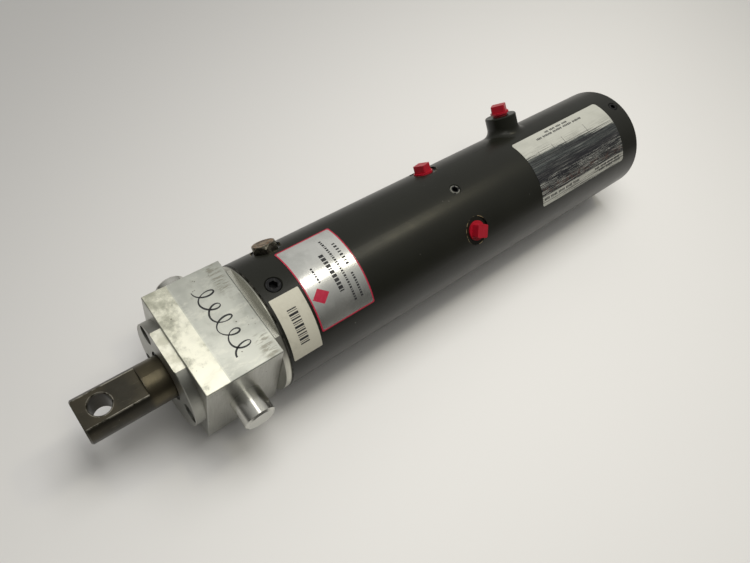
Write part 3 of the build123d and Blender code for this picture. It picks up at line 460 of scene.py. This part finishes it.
def label_film():
    """White film label, rubbed through in the middle to grey and black streaks along the barrel."""
    f = Finish("label_film", IOR=1.5, Specular_IOR_Level=0.32)
    low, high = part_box("porting_label")
    along = f.math("DIVIDE", f.math("SUBTRACT", f.x, low.x), high.x - low.x)
    angle = f.angle()
    streak = f.noise(1.0, 7, 0.85, f.cylinder_point(15, 620))
    fine = f.noise(1.0, 3, 0.8, f.cylinder_point(26, 1900))
    broad = f.noise(1.0, 4, 0.6, f.cylinder_point(10, 170))
    blotch = f.noise(230, 5, 0.7)
    # the rubbed area starts lower near the rear end, and a white strip is left along the bottom
    upper_edge = f.range(along, 17.5, 9.0)
    depth = f.math("SUBTRACT", angle, upper_edge)
    density = f.product(f.rise(depth, -10.0, 9.0), f.rise(angle, 51.5, 49.0))
    coarse_grain = f.product(f.math("SUBTRACT", streak, 0.5), 2.6)
    fine_grain = f.product(f.math("SUBTRACT", fine, 0.5), 1.6)
    grains = f.math("ADD", coarse_grain, fine_grain)
    rubbed = f.rise(f.math("ADD", grains, f.product(density, 2.0)), 0.72, 0.98)
    blue_grey = f.blend(f.rise(broad, 0.38, 0.62), (0.024, 0.029, 0.028), (0.066, 0.076, 0.073))
    black = (0.011, 0.011, 0.014)
    slid = f.math("ADD", angle, f.product(f.math("SUBTRACT", streak, 0.5), 34.0))
    band = f.between(slid, 27.0, 35.0, 1.5)
    lower = f.rise(slid, 32.0, 36.0)
    mottled = f.blend(f.rise(fine, 0.48, 0.53), black, (0.058, 0.062, 0.058))
    tone = f.blend(lower, blue_grey, mottled)
    tone = f.blend(f.product(band, 0.95), tone, black)
    ruled = f.rise(f.noise(1.0, 2, 0.5, f.cylinder_point(7, 820)), 0.585, 0.605)
    tone = f.blend(ruled, tone, black)
    tone = f.blend(f.product(f.rise(streak, 0.52, 0.47), 0.9), tone, black)
    mostly_lower = f.math("ADD", f.product(lower, 0.8), 0.2)
    pale_lines = f.product(f.rise(fine, 0.545, 0.575), f.rise(streak, 0.40, 0.50), mostly_lower)
    tone = f.blend(f.product(pale_lines, 0.9), tone, (0.42, 0.42, 0.38))
    cross_grain = f.noise(1.0, 3, 0.6, f.cylinder_point(900, 260))
    nicks = f.product(f.rise(cross_grain, 0.60, 0.66), f.rise(blotch, 0.50, 0.58), lower)
    tone = f.blend(f.product(nicks, 0.7), tone, (0.42, 0.42, 0.39))
    rust = f.product(f.between(angle, 42.0, 48.5, 1.5), f.rise(f.noise(320, 4), 0.47, 0.62))
    tone = f.blend(f.product(rust, 0.5), tone, (0.085, 0.040, 0.030))
    soil = f.rise(f.noise(48, 5), 0.44, 0.76)
    white = f.blend(f.product(soil, 0.4), (0.46, 0.46, 0.41), (0.31, 0.31, 0.27))
    near_edge = f.math("ADD", f.product(f.rise(depth, -14.0, 0.0), 0.75), 0.06)
    white = f.blend(f.product(f.rise(fine, 0.53, 0.59), near_edge), white, (0.06, 0.06, 0.055))
    white = f.blend(f.product(ruled, f.rise(depth, -9.0, 0.0)), white, black)
    colour = f.blend(rubbed, white, tone)
    f.relief(f.product(rubbed, fine), -0.02 * MM)
    roughness = f.math("ADD", f.range(fine, 0.26, 0.42), f.product(rubbed, 0.06))
    return f.done(colour, roughness)


def turned_metal(name, light, dark, low, high):
    """Plain turned metal for the inner pieces."""
    f = Finish(name, Metallic=1.0)
    rings = f.noise(1.0, 3, 0.6, f.stretched(2600, 90, 90))
    smudge = f.noise(80, 5)
    f.relief(rings, 0.005 * MM)
    return f.done(f.blend(smudge, light, dark), f.range(smudge, low, high))


def moulded(name, light, dark, low, high, grain):
    """Rubber or plastic with a fine moulded grain."""
    f = Finish(name)
    cloud = f.noise(140, 4)
    f.relief(f.noise(grain, 3), 0.01 * MM)
    return f.done(f.blend(cloud, light, dark), f.range(cloud, low, high))


def ink(name, light, dark, roughness):
    """Printed or drawn ink, thin in places."""
    f = Finish(name)
    thin = f.rise(f.noise(500, 4, 0.7), 0.50, 0.72)
    f.relief(f.noise(1500, 2), 0.003 * MM)
    return f.done(f.blend(thin, dark, light), f.range(thin, roughness, roughness + 0.12))


def make_materials():
    """One material for each slot of the record."""
    return {
        "barrel_paint": barrel_paint(),
        "block_metal": block_metal(),
        "pin_metal": pin_metal(),
        "flange_metal": flange_metal(),
        "rod_metal": rod_metal(),
        "black_screw": black_screw(),
        "plug_metal": plug_metal(),
        "plug_red": plug_red(),
        "nameplate_metal": nameplate_metal(),
        "label_paper": label_paper(),
        "label_film": label_film(),
        "inner_metal": turned_metal("inner_metal", (0.72, 0.73, 0.74), (0.60, 0.61, 0.62), 0.25, 0.40),
        "inner_steel": turned_metal("inner_steel", (0.52, 0.52, 0.51), (0.40, 0.40, 0.39), 0.22, 0.36),
        "bearing_bronze": turned_metal("bearing_bronze", (0.66, 0.46, 0.24), (0.50, 0.34, 0.17), 0.28, 0.42),
        "seal_rubber": moulded("seal_rubber", (0.030, 0.030, 0.032), (0.018, 0.018, 0.020), 0.45, 0.62, 900),
        "wear_plastic": moulded("wear_plastic", (0.72, 0.67, 0.52), (0.62, 0.57, 0.43), 0.40, 0.55, 700),
    }


def dress_nodes(materials):
    """Gives every CAD node the material of its slot in the record."""
    for subpart in frame["record"]["subparts"]:
        mesh = NODES[subpart["node"]].data
        mesh.materials.clear()
        mesh.materials.append(materials[subpart["material_slot"]])


# ---------------------------------------------------------------- printed and drawn pieces
def on_barrel(x, angle, radius):
    """Place at a station along the barrel, an angle round it and a distance from its axis."""
    turn = radians(angle)
    return Vector((x, radius * sin(turn), AXIS_Z + radius * cos(turn)))


def new_piece(name, mesh_data, material, body="housing"):
    """Visible piece from mesh data, riding on a body, with one material."""
    mesh = bpy.data.meshes.new(name)
    mesh_data.normal_update()
    bmesh.ops.recalc_face_normals(mesh_data, faces=mesh_data.faces)
    mesh_data.to_mesh(mesh)
    mesh_data.free()
    mesh.materials.append(material)
    piece = bpy.data.objects.new(name, mesh)
    bpy.context.scene.collection.objects.link(piece)
    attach(piece, body)


def join_loops(bm, first, second):
    """Faces between two closed loops of as many vertices."""
    for k in range(len(first)):
        after = (k + 1) % len(first)
        bm.faces.new((first[k], first[after], second[after], second[k]))


def add_bar(bm, rows):
    """Solid bar through cross sections of four vertices each, closed at both ends."""
    for near, far in zip(rows, rows[1:]):
        join_loops(bm, near, far)
    bm.faces.new(rows[0])
    bm.faces.new(reversed(rows[-1]))


def add_patch(bm, start, end, first, last, floor, top):
    """Thin block wrapped on the barrel between two stations and two angles."""
    steps = max(1, int(abs(last - first) / ARC_STEP))
    rows = []
    for step in range(steps + 1):
        angle = first + (last - first) * step / steps
        corners = ((start, floor), (end, floor), (end, top), (start, top))
        rows.append([bm.verts.new(on_barrel(x, angle, radius)) for x, radius in corners])
    add_bar(bm, rows)


def arc_degrees(length, radius):
    """Angle that a length spans round a circle."""
    return degrees(length / radius)


def rounded_outline(start, end, first, last, corner, radius):
    """(station, angle) points round a rectangle with rounded corners, evenly stepped along each side."""
    corner_arc = arc_degrees(corner, radius)
    points = []
    for cx, ca, turn in (
        (end - corner, last - corner_arc, 0),
        (start + corner, last - corner_arc, 90),
        (start + corner, first + corner_arc, 180),
        (end - corner, first + corner_arc, 270),
    ):
        for k in range(CORNER_STEPS + 1):
            theta = radians(turn + 90 / CORNER_STEPS * k)
            points.append((cx + corner * cos(theta), ca + corner_arc * sin(theta)))
    return stepped(points, radius)


def stepped(points, radius):
    """Closed outline with extra points, about one for every step of its length."""
    smooth = []
    for (x0, a0), (x1, a1) in zip(points, points[1:] + points[:1]):
        steps = max(1, int(hypot(x1 - x0, radians(a1 - a0) * radius) / OUTLINE_STEP))
        smooth += [(x0 + (x1 - x0) * k / steps, a0 + (a1 - a0) * k / steps) for k in range(steps)]
    return smooth


def toward(outline, centre, share_x, share_angle):
    """Outline shrunk towards a centre by a share of its distance in each direction."""
    return [(x + (centre[0] - x) * share_x, a + (centre[1] - a) * share_angle) for x, a in outline]


def add_loop(bm, outline, radius):
    """Vertices of an outline, at a distance from the barrel's axis."""
    return [bm.verts.new(on_barrel(x, angle, radius)) for x, angle in outline]


def add_border(bm, outline, centre, size, width, floor, top):
    """Thin frame that follows an outline on the barrel, inwards by its width."""
    inner = toward(outline, centre, 2 * width / size[0], 2 * arc_degrees(width, top) / size[1])
    section = ((outline, floor), (outline, top), (inner, top), (inner, floor))
    loops = [add_loop(bm, line, radius) for line, radius in section]
    for first, second in zip(loops, loops[1:] + loops[:1]):
        join_loops(bm, first, second)


def add_wrapped_shape(bm, outline, centre, floor, top):
    """Solid shape wrapped on the barrel: rings that shrink to its centre, on its top and underneath."""
    rims = []
    shares = (0.0, 0.25, 0.5, 0.75)
    for radius in (floor, top):
        rings = [add_loop(bm, toward(outline, centre, share, share), radius) for share in shares]
        for first, second in zip(rings, rings[1:]):
            join_loops(bm, first, second)
        middle = bm.verts.new(on_barrel(*centre, radius))
        for k, vertex in enumerate(rings[-1]):
            bm.faces.new((vertex, rings[-1][(k + 1) % len(rings[-1])], middle))
        rims.append(rings[0])
    join_loops(bm, *rims)


def dashes(first, last, lengths, gap):
    """Angle spans of a row of dashes that repeats a rhythm of lengths, in degrees."""
    spans = []
    angle = first
    for length in cycle(lengths):
        if angle + length > last:
            return spans
        spans.append((angle, angle + length))
        angle += length + gap


def label_extent(node):
    """(start, end, first angle, last angle, outer radius) of a label wrapped on the barrel."""
    low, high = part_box(node)
    angles = []
    radius = 0
    for vertex in NODES[node].data.vertices:
        y, z = vertex.co.y, vertex.co.z - AXIS_Z
        angles.append(degrees(atan2(y, z)))
        radius = max(radius, hypot(y, z))
    return low.x, high.x, min(angles), max(angles), radius


def nameplate_print(crimson, dark):
    """A coloured border, a plain lozenge in place of a mark, and rows of dashes in place of lettering."""
    start, end, first, last, radius = label_extent("nameplate")
    floor, top = radius - INK_SINK, radius + INK_PROUD
    border = bmesh.new()
    inset = 0.03 * MM
    turn = arc_degrees(inset, radius)
    outline = rounded_outline(start + inset, end - inset, first + turn, last - turn, 1.4 * MM, radius)
    centre = ((start + end) / 2, (first + last) / 2)
    add_border(border, outline, centre, (end - start, last - first), 1.1 * MM, floor, top)
    new_piece("nameplate_border", border, crimson)
    emblem = bmesh.new()
    x, angle = end - 9.8 * MM, 26.5
    reach_x, reach_angle = 7.6 * MM, arc_degrees(6.4 * MM, radius)
    corners = [
        (x + reach_x, angle),
        (x, angle + reach_angle),
        (x - reach_x, angle),
        (x, angle - reach_angle),
    ]
    add_wrapped_shape(emblem, stepped(corners, radius), (x, angle), floor, top)
    new_piece("nameplate_emblem", emblem, crimson)
    print_marks = bmesh.new()
    # station, height in mm, first and last angle, lengths of the dashes and the gap between them in degrees
    rows = (
        (end - 14.2 * MM, 1.7, 3.0, 17.5, (1.6, 2.2, 1.1), 0.8),
        (end - 27.5 * MM, 4.0, -3.5, 31.5, (2.6, 2.9, 2.1, 2.8, 1.0, 2.9), 0.9),
        (end - 35.2 * MM, 2.1, -16.0, 44.0, (1.5, 1.2, 1.7, 0.7, 1.3), 0.85),
        (end - 41.6 * MM, 2.1, 21.5, 44.5, (1.4, 1.1, 1.6), 0.85),
        (end - 42.6 * MM, 2.9, -8.0, 15.0, (1.2, 1.7, 1.4), 1.5),
    )
    for x, height, low_angle, high_angle, rhythm, gap in rows:
        for a0, a1 in dashes(low_angle, high_angle, rhythm, gap):
            add_patch(print_marks, x - height / 2 * MM, x + height / 2 * MM, a0, a1, floor, top)
    new_piece("nameplate_marks", print_marks, dark)


def stock_label_print(dark):
    """A plain row of bars, in place of a stock number."""
    start, end, _, _, radius = label_extent("stock_label")
    floor, top = radius - INK_SINK, radius + INK_PROUD
    bars = bmesh.new()
    middle = start + (end - start) * 0.52
    half = 3.9 * MM
    angle = 23.5
    for width, gap in ((1.0, 0.9), (0.5, 1.3), (1.9, 1.0), (0.5, 0.9), (1.2, 1.5)) * 3:
        add_patch(bars, middle - half, middle + half, angle, angle + width, floor, top)
        angle += width + gap
    new_piece("stock_label_bars", bars, dark)


def porting_label_print(dark):
    """Rows of short dashes in the unrubbed strips, and a few rule lines that run into the rubbed part."""
    start, end, _, _, radius = label_extent("porting_label")
    floor, top = radius - INK_SINK, radius + INK_PROUD
    marks = bmesh.new()
    pitch = 1.9 * MM
    # angle of the row, where it starts and ends as shares of the label's length, dashes to a group
    for row_angle, from_share, to_share, word in (
        (-10.2, 0.38, 0.64, 5),
        (-6.2, 0.24, 0.76, 8),
        (52.6, 0.04, 0.36, 6),
        (56.0, 0.03, 0.30, 7),
        (53.4, 0.56, 0.97, 6),
    ):
        x = start + (end - start) * from_share
        column = 0
        while x < start + (end - start) * to_share:
            column += 1
            x += pitch
            if column % word:
                tall = 1.25 if column % 3 else 0.95
                add_patch(marks, x, x + pitch * 0.70, row_angle - tall, row_angle + tall, floor, top)
    rule_lines = ((0.57, 3.0, 19.0), (0.86, 6.0, 20.0), (0.30, 2.0, 13.0), (0.70, 5.0, 12.0))
    for share, low_angle, high_angle in rule_lines:
        x = start + (end - start) * share
        add_patch(marks, x - 0.2 * MM, x + 0.2 * MM, low_angle, high_angle, floor, top)
    new_piece("porting_label_marks", marks, dark)


def marker_stroke(dark):
    """One plain looping pen line on the block's top face."""
    turns = 5
    steps = 260
    path = []
    # loops of slowly changing size, in mm from the trunnion axis, that move across the face
    for step in range(steps + 1):
        t = step / steps
        sway = (6.6 + 1.1 * sin(tau * 2.3 * t)) * cos(tau * turns * t)
        x = TRUNNION_X + (-6.5 + sway - 2.0 * t) * MM
        y = (-29.5 + 60.5 * t + 4.6 * sin(tau * turns * t)) * MM
        path.append(Vector((x, y, BLOCK_TOP)))
    stroke = bmesh.new()
    rows = []
    for k, place in enumerate(path):
        ahead = path[min(k + 1, steps)] - path[max(k - 1, 0)]
        width = (0.34 + 0.40 * abs(sin(tau * 3.3 * k / steps))) * MM
        side = Vector((-ahead.y, ahead.x, 0)).normalized() * width
        lift = Vector((0, 0, INK_PROUD))
        sink = Vector((0, 0, -INK_SINK))
        corners = (place - side + sink, place + side + sink, place + side + lift, place - side + lift)
        rows.append([stroke.verts.new(corner) for corner in corners])
    add_bar(stroke, rows)
    new_piece("marker_stroke", stroke, dark)


# ---------------------------------------------------------------- floor, world and lights
def make_floor():
    """Sheet of pale paper, with painted shade that greys it towards the far side in place of the light's
    fall-off.
    """
    bm = bmesh.new()
    bmesh.ops.create_grid(bm, x_segments=8, y_segments=8, size=6.0)
    mesh = bpy.data.meshes.new("floor")
    bm.to_mesh(mesh)
    bm.free()
    f = Finish("floor_paper")
    cloud = f.noise(1.1, 3)
    f.relief(f.noise(500, 2), 0.01 * MM)
    # painted shade: the paper darkens towards +X and the far side (-Y), standing in for the fall-off of the
    # light
    away = f.rise(f.math("SUBTRACT", f.product(f.x, 0.40), f.product(f.y, 0.92)), -0.16, 0.54)
    clean = f.blend(cloud, (0.815, 0.805, 0.79), (0.79, 0.78, 0.765))
    colour = f.blend(away, clean, (0.455, 0.450, 0.445))
    mesh.materials.append(f.done(colour, f.range(cloud, 0.5, 0.6)))
    floor = bpy.data.objects.new("floor", mesh)
    bpy.context.scene.collection.objects.link(floor)


# name, place, aim, size, power, colour, seen in reflections
AREA_LIGHTS = (
    ("strip_panel", (0.10, 0.04, 0.95), (0.10, 0.04, 0.0), (0.22, 0.72), 1.35, (1.0, 0.98, 0.90), True),
    ("pool_light", (-0.10, -0.20, 1.10), (-0.10, 0.14, 0.0), (0.70, 0.60), 6.4, (1.0, 0.99, 0.975), False),
    ("warm_lamp", (-0.70, 0.0, 1.25), (-0.05, 0.0, 0.05), (0.16, 0.08), 0.95, (1.0, 0.90, 0.52), True),
    ("plate_glare", (-0.37, 0.0, 1.00), (0.10, 0.0, 0.10), (0.20, 0.40), 0.80, (1.0, 0.98, 0.94), True),
)


def area_light(name, place, aim, size, power, colour, in_reflections):
    data = bpy.data.lights.new(name, "AREA")
    data.shape = "RECTANGLE"
    data.size, data.size_y = size
    data.energy = power
    data.color = colour
    light = bpy.data.objects.new(name, data)
    light.location = place
    light.visible_glossy = in_reflections
    light.rotation_euler = (Vector(aim) - Vector(place)).to_track_quat("-Z", "Y").to_euler()
    bpy.context.scene.collection.objects.link(light)


def make_lights():
    """The area lights, and a room that is dark low down and pale overhead, towards the far rear."""
    world = bpy.data.worlds.new("studio")
    bpy.context.scene.world = world
    world.use_nodes = True
    nodes, links = world.node_tree.nodes, world.node_tree.links
    background = nodes["Background"]
    direction = nodes.new("ShaderNodeTexCoord")
    towards = nodes.new("ShaderNodeVectorMath")
    towards.operation = "DOT_PRODUCT"
    towards.inputs[1].default_value = (-0.30, -0.45, 0.84)
    ramp = nodes.new("ShaderNodeValToRGB")
    ramp.color_ramp.elements[0].color = (0.11, 0.108, 0.10, 1.0)
    ramp.color_ramp.elements[0].position = 0.05
    ramp.color_ramp.elements[1].color = (0.58, 0.575, 0.555, 1.0)
    ramp.color_ramp.elements[1].position = 0.95
    links.new(direction.outputs["Generated"], towards.inputs[0])
    links.new(towards.outputs["Value"], ramp.inputs[0])
    links.new(ramp.outputs[0], background.inputs[0])
    for light in AREA_LIGHTS:
        area_light(*light)


def set_view():
    """Colours as they are, with no film look."""
    view = bpy.context.scene.view_settings
    view.view_transform = "Standard"
    view.look = "None"


make_camera()
set_view()
make_lights()
make_floor()
MATERIALS = make_materials()
dress_nodes(MATERIALS)
CRIMSON = ink("crimson_ink", (0.46, 0.030, 0.070), (0.38, 0.010, 0.038), 0.35)
DARK_INK = ink("dark_ink", (0.045, 0.045, 0.047), (0.012, 0.012, 0.014), 0.40)
nameplate_print(CRIMSON, DARK_INK)
stock_label_print(DARK_INK)
porting_label_print(DARK_INK)
marker_stroke(DARK_INK)

bpy.context.view_layer.update()
